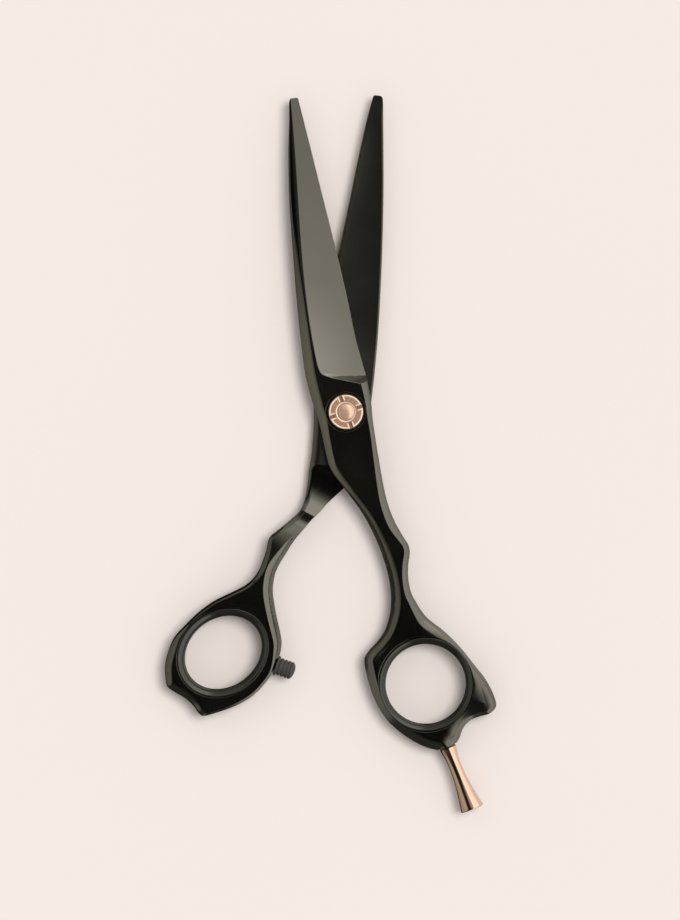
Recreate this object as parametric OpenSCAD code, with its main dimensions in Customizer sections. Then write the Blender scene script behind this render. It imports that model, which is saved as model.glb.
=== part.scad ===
// Hair cutting shears with offset rings, a ball-bearing pivot and a tension dial.
// The halves are drawn closed, each along +Y, and then swung apart to the rest opening.
// Z = 0 is the under side of the rear pivot head; +Y runs towards the tips.

/* [Opening] */
// Lean of the finger half from +Y, turned towards -X
finger_lean = 9.3; // [5:0.1:14]
// Lean of the thumb half from +Y, turned towards +X
thumb_lean = 5.8; // [3:0.1:20]

/* [Blades] */
// Thickness of each half at the pivot
half_th = 3.2; // [3:0.05:3.5]
// Thickness of each blade at the tip
tip_th = 0.8; // [0.6:0.05:1.2]
// Distance between the two ride faces
ride_gap = 0.04; // [0.02:0.01:0.1]
// Transverse fall of the main bevel, mm per mm
bevel_fall = 0.2926; // [0.27:0.005:0.32]
// Radius of the hollow grind on the ride face
hollow_r = 60; // [50:1:80]

/* [Handles] */
// Height of a handle above and below the ride plane
handle_half = 2.8; // [2.6:0.05:3.1]
// Half height of the upright land on the sides of a handle
side_land = 0.9; // [0.6:0.1:1.3]
// Inner radius of the finger insert
finger_hole_r = 9.2; // [8.8:0.05:9.5]
// Radius of the finger insert seat in the ring
finger_seat_r = 10.7; // [10.5:0.05:10.8]
// Half length of the thumb hole
thumb_hole_a = 9.4; // [8.8:0.1:9.6]
// Half width of the thumb hole
thumb_hole_b = 7.8; // [7.2:0.1:8]
// Wall of the thumb insert
thumb_insert_wall = 1.7; // [1.4:0.1:1.9]

/* [Finger rest] */
// Length of the finger rest beyond its washer
rest_len = 15.2; // [12:0.1:18]
// Radius at the root of the finger rest
rest_root_r = 2; // [1.8:0.05:2.1]
// Radius at the waist of the finger rest
rest_waist_r = 1.45; // [1.3:0.05:1.7]
// Radius at the free end of the finger rest
rest_end_r = 2.7; // [2.3:0.05:3]

/* [Bumper] */
// Height of the bumper off the thumb ring
bumper_out = 4.9; // [4:0.1:5]
// Radius of the bumper ribs
bumper_r = 2.05; // [1.8:0.05:2.2]

/* [Pivot] */
// Radius of the tension dial
dial_r = 3.95; // [3.7:0.05:4.1]
// Height of the dial
dial_h = 1.7; // [1.6:0.05:1.9]
// Width of the notches in the dial
notch_w = 0.9; // [0.6:0.05:1.2]
// Angle of the first dial notch
notch_turn = 20; // [0:1:89]
// Radius of the stud journal
journal_r = 2.5; // [2.4:0.01:2.55]
// Radius of the threaded end of the stud
thread_r = 1.95; // [1.85:0.05:2]
// Radius of the rear head of the stud
head_r = 4.5; // [4:0.1:4.8]
// Height of the rear head of the stud
head_h = 1; // [0.8:0.05:1.2]
// Number of bearing balls
ball_count = 12; // [8:1:14]
// Radius of a bearing ball
ball_r = 0.6; // [0.55:0.01:0.62]

/* [Hidden] */
// Ride plane above the under side of the rear head, and half of the gap between the ride faces
lift = half_th + head_h;
ride = ride_gap / 2;

// Seams between blade and handle, across each half
finger_seam = -23;
thumb_seam = -23.5;
// Where the blade starts to thin towards the tip, and where it ends
taper_start = 9;
blade_end = 73;
// Spacing of the sections along a blade, and sections between handle stations
blade_step = 3;
handle_steps = 4;

// Pivot stack, above and below the ride plane
race_th = 0.4;
race_gap = 0.01;
race_out_r = 5;
race_in_r = 2.56;
race_top = ball_r + race_gap + race_th;
race_seat_r = 5.02;
bush_r = 3.2;
running = 0.04;
pocket_floor = 1.9;
pocket_r = 4.45;
washer_gap = 0.01;
slider_th = 0.24;
wave_space = 0.42;
click_th = 0.3;
click_z = pocket_floor + washer_gap + slider_th + wave_space;
dial_z = click_z + click_th + running;
dial_bore = thread_r + 0.05;
flat_journal = 2.1;
flat_thread = 1.6;
cage_in_r = 2.9;
cage_out_r = 4.85;
cage_h = 0.7;
ball_ring_r = 3.9;
ball_play = 0.04;

// Inserts
finger_c = [8, -64.5];
thumb_c = [22.4, -57.7];
thumb_turn = -44;
insert_half = 2.95;
insert_land = 1.25;
insert_fit = 0.02;
bead_h = 0.5;
bead_out = 0.2;
oval_pts = 72;

// Finger rest seat and axis, in the frame of the finger half
rest_root = [10.57, -79.4];
rest_turn = 12.5;
rest_washer_th = 0.35;
spigot_r = 1;
spigot_len = 3;
spigot_fit = 0.02;

// Bumper seat and axis, in the mirrored frame of the thumb half
bumper_root = [10.15, -59.4];
bumper_turn = 194;
stud_r = 0.8;
stud_in = 2;
stud_up = 3;

eps = 0.01;
big = 200;

// Colours
black_steel = [0.1, 0.1, 0.09];
soft_black = [0.05, 0.05, 0.05];
rubber_grey = [0.24, 0.24, 0.26];
rose_gold = [0.8, 0.52, 0.38];
steel = [0.62, 0.62, 0.63];
bronze = [0.6, 0.45, 0.25];
acetal = [0.12, 0.12, 0.12];

// Outline of the finger blade: [station along Y, X] for the spine and for the cutting side.
finger_spine = [[-23, -0.35], [-17.4, -3.07], [-12.6, -5.55], [-9.2, -6.05], [-0.8, -6.4],
                [2.75, -6.85], [6.3, -7.2], [9.8, -7.43], [15.6, -7.3], [27.1, -6.6], [38.6, -5.75],
                [50.1, -4.7], [61.5, -3.25], [68.3, -2.1], [71.2, -1.5], [73, -0.7]];
finger_edge = [[-23, 6.2], [-18.6, 5.8], [-13.5, 5.7], [-8, 5.7], [-2.4, 5.85], [1.8, 6.1],
               [7.5, 5.85], [11.2, 5.45], [16, 5.05], [23.9, 4.6], [34.2, 3.98], [45.6, 3.08],
               [56.9, 2.15], [68.2, 1.1], [71.5, 1], [73, 0.6]];
// The same for the thumb blade, turned over so that its outer face is up.
thumb_spine = [[-23.5, 3.7], [-21.4, 2.2], [-19.7, 0.75], [-17.2, -1.5], [-14, -3.6], [-10.5, -4.8],
               [-6, -5.35], [0, -5.5], [7.5, -5.65], [18.6, -5.55], [29.6, -5.07], [40.1, -4.4],
               [51.6, -3.45], [58.4, -2.75], [68, -1.72], [71.2, -1.3], [73, -0.6]];
thumb_edge = [[-23.5, 8.15], [-21, 7.4], [-17.3, 7.1], [-11.3, 6.9], [-4.9, 7], [2, 7.65],
              [8, 7.3], [15, 6.85], [24, 6.35], [32.6, 5.75], [36.8, 5.35], [48, 4.1],
              [59.2, 2.95], [67.6, 1.95], [71.5, 1.3], [73, 0.7]];
// Width of the chamfer beside the spine, and beside the tang on the cutting side.
spine_chamfer = [[-23.5, 0.9], [-12.5, 1.2], [0, 1.5], [9, 2.1], [15, 1.9], [25.5, 1.5], [38.5, 1],
                 [51, 1.1], [61, 0.9], [73, 0.25]];
tang_chamfer = [[-23.5, 0.5], [-15, 0.6], [-6.6, 0.9], [0, 1.2], [6, 1.45], [9, 1.5], [73, 0.1]];

// Handle stations: left rail X, Y; right rail X, Y; top; bottom; left chamfer; right chamfer.
// Tops and bottoms are multiples of handle_half.
finger_stations = [
    [-0.35, -23, 6.2, -23, half_th / handle_half, ride / handle_half, 0.9, 0.5],
    [1.1, -27.2, 7.1, -27.2, 1.1, -0.62, 1, 0.8],
    [2.1, -31.3, 9.1, -32.2, 1.04, -0.95, 1.1, 1.1],
    [2.8, -35.6, 8.5, -36, 1, -1, 1.2, 1.1],
    [3.05, -40, 7.7, -40.3, 1, -1, 1.2, 1.1],
    [2.75, -44.2, 8.3, -44.9, 1, -1, 1.2, 1.2],
    [1.6, -48.5, 10.4, -49, 1, -1, 1.3, 1.4],
    [-0.9, -52.5, 13.6, -52.8, 1, -1, 1.4, 1.5],
    [-4, -55.6, 16.6, -56.8, 1, -1, 1.3, 1.3],
    [-5, -60, 19.2, -61, 1, -1, 1.3, 1.1],
    [-4.7, -63.8, 21.4, -65.2, 1, -1, 1.2, 1.2],
    [-3.7, -67.6, 22.8, -69.2, 1, -1, 1.2, 1.5],
    [-1.9, -71.4, 23.1, -72.2, 1, -1, 1.3, 1.8],
    [0.8, -74.8, 20.6, -73.7, 1, -1, 1.5, 1.8],
    [3.6, -77.3, 17.3, -74.1, 1, -1, 1.6, 1.6],
    [6.2, -79, 14.9, -75.8, 0.95, -0.95, 1.5, 1.5],
    [8.32, -79.9, 12.82, -78.9, 0.85, -0.85, 1.2, 1.2]
];
thumb_stations = [
    [3.7, -23.5, 8.15, -23.5, half_th / handle_half, ride / handle_half, 0.9, 0.5],
    [5.6, -25.9, 10.8, -26.5, 1.1, -0.6, 1, 0.8],
    [7.5, -28.4, 13.3, -29.1, 1.05, -0.9, 1.1, 1],
    [9.3, -31.4, 14.75, -31.4, 1, -1, 1.1, 1.2],
    [10.9, -34.6, 15.1, -34.2, 1, -1, 1.1, 1.1],
    [12.2, -38, 16.1, -37.7, 1, -1, 1.1, 1.1],
    [12.55, -41.5, 18, -41, 1, -1, 1.2, 1.2],
    [12.1, -44.8, 21.8, -43.8, 1, -1, 1.3, 1.3],
    [11, -48.4, 26, -46.4, 1, -1, 1.3, 1.4],
    [9.7, -52.4, 30.4, -50.6, 1, -1, 1.3, 1.4],
    [9.3, -56, 33.6, -54.9, 1, -1, 1.2, 1.4],
    [10.3, -60.4, 35.1, -59.2, 1, -1, 1.2, 1.3],
    [12.3, -64, 35.3, -63.4, 1, -1, 1.3, 1.4],
    [15.3, -67.3, 34.4, -66.9, 1, -1, 1.4, 1.8],
    [18.6, -69.7, 31.2, -68.4, 1, -1, 1.5, 1.8],
    [21.8, -71.3, 28.2, -70.3, 0.95, -0.95, 1.5, 1.6],
    [24.6, -72.45, 26.2, -72.45, 0.8, -0.8, 0.6, 0.6]
];

// ---- Splines and lofts ----

// Catmull-Rom point between b and c at t
function spline_at(a, b, c, d, t) =
    b + 0.5 * t * ((c - a) + t * ((2 * a - 5 * b + 4 * c - d) + t * (3 * (b - c) + d - a)));

// All rows of a station table, with steps new rows between each two
function spline_rows(rows, steps) = [
    for (i = [0 : len(rows) - 2], k = [0 : steps - 1])
        spline_at(rows[max(i - 1, 0)], rows[i], rows[i + 1], rows[min(i + 2, len(rows) - 1)], k / steps),
    rows[len(rows) - 1]
];

// Slope of a [station, value] table at row i
function slope_at(tab, i) =
    let (a = tab[max(i - 1, 0)], b = tab[min(i + 1, len(tab) - 1)])
    (b[1] - a[1]) / (b[0] - a[0]);

// Smooth value of a [station, value] table at y
function value_at(tab, y) =
    let (i = max([for (j = [0 : len(tab) - 2]) if (tab[j][0] <= y + eps || j == 0) j]),
         h = tab[i + 1][0] - tab[i][0],
         t = (y - tab[i][0]) / h,
         m0 = slope_at(tab, i) * h,
         m1 = slope_at(tab, i + 1) * h)
    (2 * pow(t, 3) - 3 * t * t + 1) * tab[i][1] + (pow(t, 3) - 2 * t * t + t) * m0
    + (3 * t * t - 2 * pow(t, 3)) * tab[i + 1][1] + (pow(t, 3) - t * t) * m1;

// Closed solid through sections that all have the same number of points
module loft(sections) {
    n = len(sections[0]);
    m = len(sections);
    points = [for (s = sections) each s];
    sides = [for (i = [0 : m - 2], k = [0 : n - 1])
        let (a = i * n + k, b = i * n + (k + 1) % n)
        each [[a, b, a + n], [b, b + n, a + n]]];
    first = [for (k = [n - 1 : -1 : 0]) k];
    last = [for (k = [0 : n - 1]) (m - 1) * n + k];
    polyhedron(points, concat(sides, [first, last]));
}

// Closed ring through sections that all have the same number of points
module ring_loft(sections) {
    n = len(sections[0]);
    m = len(sections);
    points = [for (s = sections) each s];
    faces = [for (i = [0 : m - 1], k = [0 : n - 1])
        let (a = i * n + k,
             b = i * n + (k + 1) % n,
             c = ((i + 1) % m) * n + k,
             d = ((i + 1) % m) * n + (k + 1) % n)
        each [[a, b, c], [b, d, c]]];
    polyhedron(points, faces);
}

// ---- Blades ----

// Outer face height at a station
function top_at(y) =
    half_th - max(0, y - taper_start) * (half_th - tip_th) / (blade_end - taper_start);

function blade_section(spine, edge, y) =
    let (xl = value_at(spine, y),
         xr = value_at(edge, y),
         zt = top_at(y),
         cl = value_at(spine_chamfer, y),
         cr = value_at(tang_chamfer, y))
    [[xl, y, ride], [xr, y, ride], [xr, y, zt - 0.75 * cr], [xr - cr, y, zt],
     [xl + cl, y, zt], [xl, y, zt - min(0.75 * cl, 0.4 * zt)]];

// Half space above the plane of the main bevel, ahead of the run-out wall
module main_bevel() {
    // a point on the bevel, where it meets the outer face beside the ricasso
    top_pt = [-4.4, 14, 3];
    // fall towards the tip
    bevel_drop = 0.0214;
    // foot of the run-out wall at the outer face, its turn and its slope
    wall_pt = [-3.2, 8.25, half_th];
    wall_turn = -17.9;
    wall_slope = 52;
    intersection() {
        translate(top_pt)
            rotate([0, 0, atan2(bevel_drop, bevel_fall)])
                rotate([0, atan(norm([bevel_fall, bevel_drop])), 0])
                    translate([-big / 2, -big / 2, 0])
                        cube([big, big, 30]);
        translate(wall_pt)
            rotate([0, 0, wall_turn])
                rotate([-wall_slope, 0, 0])
                    translate([-big / 2, 0, -big / 2])
                        cube([big, big, big]);
    }
}

// Shallow hollow in the ride face, dying out before the tip
module hollow_grind(lean) {
    hollow_deep = 0.14;
    hollow_start = 13;
    hollow_len = 54;
    rise = atan(hollow_deep / hollow_len);
    translate([0.2, hollow_start, ride + hollow_deep - hollow_r])
        rotate([0, 0, lean])
            rotate([-90 - rise, 0, 0])
                cylinder(h = hollow_len, r = hollow_r, $fn = 360);
}

// Scoop in the ride face between the pivot and the handle
module tang_scoop(y_mid) {
    scoop_r = 15;
    scoop_deep = 0.75;
    translate([0, y_mid, ride + scoop_deep - scoop_r])
        rotate([0, 90, 0])
            cylinder(h = 40, r = scoop_r, center = true, $fn = 180);
}

module blade(spine, edge, seam, scoop_y, lean) {
    stations = concat([for (y = [seam : blade_step : blade_end - 6]) y],
                      [blade_end - 4, blade_end - 2.5, blade_end - 1.4, blade_end - 0.6, blade_end]);
    difference() {
        loft([for (y = stations) blade_section(spine, edge, y)]);
        main_bevel();
        hollow_grind(lean);
        tang_scoop(scoop_y);
    }
}

// ---- Handles ----

// Twelve-sided section from a station row
function handle_section(row) =
    let (a = [row[0], row[1]],
         b = [row[2], row[3]],
         w = norm(b - a),
         u = (b - a) / w,
         zt = row[4] * handle_half,
         zb = row[5] * handle_half,
         mid = (zt + zb) / 2,
         e = min(side_land, 0.4 * (zt - zb)),
         cl = row[6],
         cr = row[7],
         soft = 0.35,
         rows = [[0, mid - e], [soft * cl, zb + soft * (mid - e - zb)], [cl, zb],
                 [w - cr, zb], [w - soft * cr, zb + soft * (mid - e - zb)], [w, mid - e],
                 [w, mid + e], [w - soft * cr, zt - soft * (zt - mid - e)], [w - cr, zt],
                 [cl, zt], [soft * cl, zt - soft * (zt - mid - e)], [0, mid + e]])
    [for (r = rows) [a[0] + u[0] * r[0], a[1] + u[1] * r[0], r[1]]];

module handle(stations) {
    loft([for (row = spline_rows(stations, handle_steps)) handle_section(row)]);
}

// Oval of the thumb hole, grown by a given wall
module oval(grow) {
    polygon([for (i = [0 : oval_pts - 1])
        [(thumb_hole_a + grow) * cos(i * 360 / oval_pts),
         (thumb_hole_b + grow) * sin(i * 360 / oval_pts)]]);
}

// ---- Placement of the two halves ----

module finger_place() {
    translate([0, 0, lift])
        rotate([0, 0, finger_lean])
            children();
}

// The thumb half is drawn like the finger half and turned over
module thumb_place() {
    translate([0, 0, lift])
        rotate([0, 0, -thumb_lean])
            rotate([0, 180, 0])
                children();
}

module pivot_place() {
    translate([0, 0, lift])
        children();
}

module rest_place() {
    finger_place()
        translate([rest_root[0], rest_root[1], 0])
            rotate([0, 0, rest_turn])
                rotate([90, 0, 0])
                    children();
}

module bumper_place() {
    thumb_place()
        translate([bumper_root[0], bumper_root[1], 0])
            rotate([0, 0, bumper_turn])
                rotate([0, 90, 0])
                    children();
}

// Round bar with two flats
module keyed_bar(r, flat, h) {
    intersection() {
        cylinder(h = h, r = r, $fn = 96);
        translate([-flat, -2 * r, 0])
            cube([2 * flat, 4 * r, h]);
    }
}

// ---- Finger half ----

module finger_blade() {
    color(black_steel)
        finger_place()
            difference() {
                blade(finger_spine, finger_edge, finger_seam, -18, 4.2);
                translate([0, 0, -1])
                    cylinder(h = 10, r = bush_r, $fn = 96);
                translate([0, 0, -1])
                    cylinder(h = 1 + race_top, r = race_seat_r, $fn = 96);
                translate([0, 0, pocket_floor])
                    cylinder(h = 10, r = pocket_r, $fn = 96);
            }
}

module finger_handle() {
    color(black_steel)
        difference() {
            finger_place()
                difference() {
                    handle(finger_stations);
                    translate([finger_c[0], finger_c[1], -10])
                        cylinder(h = 20, r = finger_seat_r, $fn = 180);
                    translate([finger_c[0], finger_c[1], -bead_h])
                        cylinder(h = 2 * bead_h, r = finger_seat_r + bead_out, $fn = 180);
                }
            rest_place()
                translate([0, 0, -spigot_len - 0.3])
                    cylinder(h = spigot_len + 5, r = spigot_r + spigot_fit, $fn = 64);
        }
}

module finger_insert() {
    r_out = finger_seat_r - insert_fit;
    r_mouth = finger_hole_r + 0.75;
    color(soft_black)
        finger_place()
            translate([finger_c[0], finger_c[1], 0])
                rotate_extrude($fn = 180)
                    polygon([[finger_hole_r, -insert_land],
                             [finger_hole_r + 0.25, -insert_half + 0.55],
                             [r_mouth, -insert_half],
                             [r_out - 0.2, -insert_half],
                             [r_out, -insert_half + 0.2],
                             [r_out, -bead_h + insert_fit],
                             [r_out + bead_out, -bead_h + insert_fit],
                             [r_out + bead_out, bead_h - insert_fit],
                             [r_out, bead_h - insert_fit],
                             [r_out, insert_half - 0.2],
                             [r_out - 0.2, insert_half],
                             [r_mouth, insert_half],
                             [finger_hole_r + 0.25, insert_half - 0.55],
                             [finger_hole_r, insert_land]]);
}

// Half profile of the finger rest: two arcs give the flare
module rest_profile() {
    steps = 14;
    waist = 0.32;
    flare = [for (i = [0 : steps])
        let (t = i / steps,
             root_side = rest_waist_r + (rest_root_r - rest_waist_r) * pow(1 - t / waist, 2),
             end_side = rest_waist_r + (rest_end_r - rest_waist_r) * pow((t - waist) / (1 - waist), 1.7))
        [t < waist ? root_side : end_side, rest_washer_th + t * (rest_len - 0.4)]];
    polygon(concat([[0, rest_washer_th], [rest_root_r - 0.15, rest_washer_th]],
                   [for (p = flare) p[1] > rest_washer_th + 0.1 ? p : [p[0], rest_washer_th + 0.1]],
                   [[rest_end_r - 0.1, rest_washer_th + rest_len - 0.15],
                    [rest_end_r - 0.45, rest_washer_th + rest_len],
                    [0, rest_washer_th + rest_len + 0.15]]));
}

module finger_rest() {
    color(rose_gold)
        rest_place()
            union() {
                rotate_extrude($fn = 120)
                    rest_profile();
                translate([0, 0, -spigot_len])
                    cylinder(h = spigot_len + rest_washer_th + 0.5, r = spigot_r, $fn = 64);
            }
}

module rest_washer() {
    color(soft_black)
        rest_place()
            difference() {
                cylinder(h = rest_washer_th, r = rest_root_r - 0.15, $fn = 96);
                translate([0, 0, -1])
                    cylinder(h = 3, r = spigot_r + spigot_fit, $fn = 64);
            }
}

module pivot_bush() {
    color(bronze)
        pivot_place()
            translate([0, 0, race_top])
                difference() {
                    cylinder(h = pocket_floor - race_top, r = bush_r - 0.005, $fn = 96);
                    translate([0, 0, -1])
                        cylinder(h = 5, r = journal_r + running, $fn = 96);
                }
}

// Flat washer that a row of balls runs on
module race() {
    difference() {
        cylinder(h = race_th, r = race_out_r, $fn = 96);
        translate([0, 0, -1])
            cylinder(h = 3, r = race_in_r, $fn = 96);
    }
}

module front_race() {
    color(steel)
        pivot_place()
            translate([0, 0, race_top - race_th])
                race();
}

// ---- Thumb half ----

module thumb_blade() {
    color(black_steel)
        difference() {
            thumb_place()
                difference() {
                    blade(thumb_spine, thumb_edge, thumb_seam, -18.5, 5.2);
                    translate([0, 0, -1])
                        cylinder(h = 1 + race_top, r = race_seat_r, $fn = 96);
                }
            thumb_place()
                translate([0, 0, -1])
                    keyed_bar(journal_r + 0.01, flat_journal + 0.01, 10);
        }
}

module thumb_handle() {
    color(black_steel)
        difference() {
            thumb_place()
                difference() {
                    handle(thumb_stations);
                    translate([thumb_c[0], thumb_c[1], -10])
                        rotate([0, 0, thumb_turn])
                            linear_extrude(20)
                                oval(thumb_insert_wall);
                    translate([thumb_c[0], thumb_c[1], -bead_h])
                        rotate([0, 0, thumb_turn])
                            linear_extrude(2 * bead_h)
                                oval(thumb_insert_wall + bead_out);
                }
            bumper_place()
                translate([0, 0, -stud_in - 0.05])
                    cylinder(h = 8, r = stud_r + insert_fit, $fn = 48);
            // flat seat for the bumper
            bumper_place()
                cylinder(h = 4, r = bumper_r + 0.6, $fn = 64);
        }
}

// Oval liner with a rounded inner wall
module thumb_insert() {
    outer = thumb_insert_wall - insert_fit;
    profile = [[0, -insert_land], [0.25, -insert_half + 0.55], [0.8, -insert_half],
               [outer - 0.2, -insert_half], [outer, -insert_half + 0.2],
               [outer, -bead_h + insert_fit], [outer + bead_out, -bead_h + insert_fit],
               [outer + bead_out, bead_h - insert_fit], [outer, bead_h - insert_fit],
               [outer, insert_half - 0.2], [outer - 0.2, insert_half],
               [0.8, insert_half], [0.25, insert_half - 0.55], [0, insert_land]];
    color(soft_black)
        thumb_place()
            translate([thumb_c[0], thumb_c[1], 0])
                rotate([0, 0, thumb_turn])
                    ring_loft([for (i = [0 : oval_pts - 1])
                        let (c = cos(-i * 360 / oval_pts), s = sin(-i * 360 / oval_pts))
                        [for (p = profile)
                            [(thumb_hole_a + p[0]) * c, (thumb_hole_b + p[0]) * s, p[1]]]]);
}

module bumper() {
    rib_step = 0.9;
    groove = 0.22;
    dome_z = 3.6;
    color(rubber_grey)
        bumper_place()
            difference() {
                rotate_extrude($fn = 96)
                    polygon(concat(
                        [[0, 0], [bumper_r + 0.25, 0], [bumper_r + 0.3, 0.35], [bumper_r, 0.6]],
                        [for (i = [0 : 2])
                            let (z = 0.6 + i * rib_step)
                            each [[bumper_r - groove, z + 0.15], [bumper_r - 0.03, z + 0.35],
                                  [bumper_r, z + 0.6], [bumper_r - 0.03, z + 0.8]]],
                        [for (a = [0 : 15 : 90])
                            [bumper_r * cos(a), dome_z + (bumper_out - dome_z) * sin(a)]]));
                translate([0, 0, -1])
                    cylinder(h = 1 + stud_up + 0.05, r = stud_r + insert_fit, $fn = 48);
            }
}

module bumper_stud() {
    color(steel)
        bumper_place()
            translate([0, 0, -stud_in])
                cylinder(h = stud_in + stud_up, r = stud_r, $fn = 48);
}

module pivot_stud() {
    dome_r = 1.7;
    thread_top = dial_z + dial_h - 0.45;
    color(rose_gold)
        pivot_place()
            rotate([0, 0, -thumb_lean])
                union() {
                    // rear head with a broken edge
                    translate([0, 0, -half_th - head_h])
                        cylinder(h = 0.25, r1 = head_r - 0.25, r2 = head_r, $fn = 120);
                    translate([0, 0, -half_th - head_h + 0.25])
                        cylinder(h = head_h - 0.25, r = head_r, $fn = 120);
                    translate([0, 0, -half_th])
                        keyed_bar(journal_r, flat_journal, half_th - race_top);
                    translate([0, 0, -race_top])
                        cylinder(h = race_top + pocket_floor - 0.05, r = journal_r, $fn = 96);
                    translate([0, 0, pocket_floor - 0.05])
                        keyed_bar(thread_r, flat_thread, thread_top - pocket_floor + 0.05);
                    translate([0, 0, thread_top])
                        rotate_extrude($fn = 96)
                            polygon(concat([[0, 0]],
                                           [for (a = [0 : 10 : 90]) [dome_r * cos(a), 0.5 * sin(a)]]));
                }
}

module rear_race() {
    color(steel)
        pivot_place()
            translate([0, 0, -race_top])
                race();
}

// ---- Bearing ----

module bearing_cage() {
    color(bronze)
        pivot_place()
            difference() {
                translate([0, 0, -cage_h / 2])
                    cylinder(h = cage_h, r = cage_out_r, $fn = 96);
                translate([0, 0, -2])
                    cylinder(h = 4, r = cage_in_r, $fn = 96);
                for (i = [0 : ball_count - 1])
                    rotate([0, 0, i * 360 / ball_count])
                        translate([ball_ring_r, 0, -2])
                            cylinder(h = 4, r = ball_r + ball_play, $fn = 36);
            }
}

module bearing_balls() {
    color(steel)
        pivot_place()
            for (i = [0 : ball_count - 1])
                rotate([0, 0, i * 360 / ball_count])
                    translate([ball_ring_r, 0, 0])
                        sphere(r = ball_r, $fn = 36);
}

// ---- Tension stack ----

module slide_washer() {
    color(acetal)
        pivot_place()
            translate([0, 0, pocket_floor + washer_gap])
                difference() {
                    cylinder(h = slider_th, r = pocket_r - 0.15, $fn = 96);
                    translate([0, 0, -1])
                        cylinder(h = 3, r = thread_r + 0.1, $fn = 96);
                }
}

// Three-wave spring ring
module wave_washer() {
    waves = 3;
    ring_pts = 72;
    strip = 0.15;
    swing = (wave_space - strip) / 2 - 0.01;
    mid = pocket_floor + washer_gap + slider_th + wave_space / 2;
    color(steel)
        pivot_place()
            ring_loft([for (i = [0 : ring_pts - 1])
                let (a = -i * 360 / ring_pts, z = mid + swing * sin(waves * a))
                [for (p = [[2.1, -strip / 2], [3.9, -strip / 2], [3.9, strip / 2], [2.1, strip / 2]])
                    [p[0] * cos(a), p[0] * sin(a), z + p[1]]]]);
}

module click_washer() {
    click_r = 3.8;
    clicks = 16;
    color(steel)
        pivot_place()
            rotate([0, 0, -thumb_lean])
                translate([0, 0, click_z])
                    difference() {
                        cylinder(h = click_th, r = click_r, $fn = 96);
                        translate([0, 0, -1])
                            keyed_bar(thread_r + 0.03, flat_thread + 0.03, 3);
                        for (i = [0 : clicks - 1])
                            rotate([0, 0, i * 360 / clicks])
                                translate([2.6, -0.12, click_th - 0.1])
                                    cube([2, 0.24, 1]);
                    }
}

module tension_dial() {
    top = dial_h;
    color(rose_gold)
        pivot_place()
            translate([0, 0, dial_z])
                difference() {
                    union() {
                        rotate_extrude($fn = 144)
                            polygon([[dial_bore, 0], [dial_r - 0.2, 0], [dial_r, 0.2],
                                     [dial_r, top - 0.3], [dial_r - 0.3, top],
                                     [dial_r - 0.5, top], [dial_r - 0.62, top - 0.14],
                                     [dial_bore + 0.5, top - 0.2], [dial_bore + 0.4, top - 0.35],
                                     [dial_bore, top - 0.4]]);
                        // raised cheeks beside each notch
                        for (i = [0 : 3])
                            rotate([0, 0, notch_turn + i * 90])
                                translate([2.7, -notch_w / 2 - 0.2, top - 0.4])
                                    cube([0.85, notch_w + 0.4, 0.4]);
                    }
                    for (i = [0 : 3])
                        rotate([0, 0, notch_turn + i * 90])
                            translate([2.5, -notch_w / 2, top - 0.6])
                                cube([3, notch_w, 2]);
                }
}

finger_blade();
finger_handle();
finger_insert();
finger_rest();
rest_washer();
pivot_bush();
front_race();
thumb_blade();
thumb_handle();
thumb_insert();
bumper();
bumper_stud();
pivot_stud();
rear_race();
bearing_cage();
bearing_balls();
slide_washer();
wave_washer();
click_washer();
tension_dial();
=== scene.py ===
import math

import bpy
import numpy as np
from mathutils import Matrix, Vector, geometry


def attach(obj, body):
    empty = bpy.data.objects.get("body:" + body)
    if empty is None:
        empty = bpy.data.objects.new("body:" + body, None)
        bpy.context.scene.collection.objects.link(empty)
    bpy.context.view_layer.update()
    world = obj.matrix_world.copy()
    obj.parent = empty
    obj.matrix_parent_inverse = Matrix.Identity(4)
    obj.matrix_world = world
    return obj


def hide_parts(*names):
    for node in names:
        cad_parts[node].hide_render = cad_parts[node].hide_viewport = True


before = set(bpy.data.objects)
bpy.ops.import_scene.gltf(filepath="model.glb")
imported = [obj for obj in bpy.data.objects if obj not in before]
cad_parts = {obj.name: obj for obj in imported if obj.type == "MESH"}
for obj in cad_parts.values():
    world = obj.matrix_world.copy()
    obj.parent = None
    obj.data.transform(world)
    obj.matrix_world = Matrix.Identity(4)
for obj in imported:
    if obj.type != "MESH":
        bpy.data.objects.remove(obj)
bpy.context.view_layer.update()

# All lengths below are in mm, and angles in degrees.
MM = 0.001
# The plane between the halves lies this high above the under side of the rear head.
LIFT = 4.2
# Heights of each half above that plane: ride face, outer face by the pivot, shank and ring.
RIDE, TOP, GRIP = 0.02, 3.2, 2.8
# Turn of each half from its drawing to the rest pose.
FINGER_LEAN, THUMB_LEAN = 9.3, -5.8
# Finger ring: centre, radius of the hole, radius of the seat.
FINGER_C, FINGER_HOLE, FINGER_SEAT = (8.0, -64.5), 9.2, 10.7
# Thumb ring: centre, turn, half axes of the hole, wall of the insert.
THUMB_C, THUMB_TURN, THUMB_A, THUMB_B, THUMB_WALL = (22.4, -57.7), -44.0, 9.4, 7.8, 1.7
# Chamfer of both seats.
CHAMFER = 0.3
# Foot of the finger rest on the finger half and of the bumper on the thumb half, and their turns.
REST_FOOT, REST_TURN = (10.57, -79.4), 12.5
BUMP_FOOT, BUMP_TURN = (10.15, -59.4), 194
# The dial sits this high above the plane between the halves.
DIAL_LIFT = 2.91
# Stepped bore of the pivot: radii, heights of its floors, and radius of the dish round the dial.
DIAL_BORE, DIAL_FLOOR, DISH = 4.45, 1.9, 4.6
RACE_BORE, RACE_FLOOR = 5.02, 1.01
BUSH_BORE, STUD_BORE = 3.2, 2.52
# Main bevel of the blades: slope across, slope along, and the wall behind it.
BEVEL_ACROSS, BEVEL_ALONG = 0.2926, 0.0214
WALL_TURN, WALL_TILT, WALL_FOOT = -20.4, 55, (-3.2, 8.69)
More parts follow.
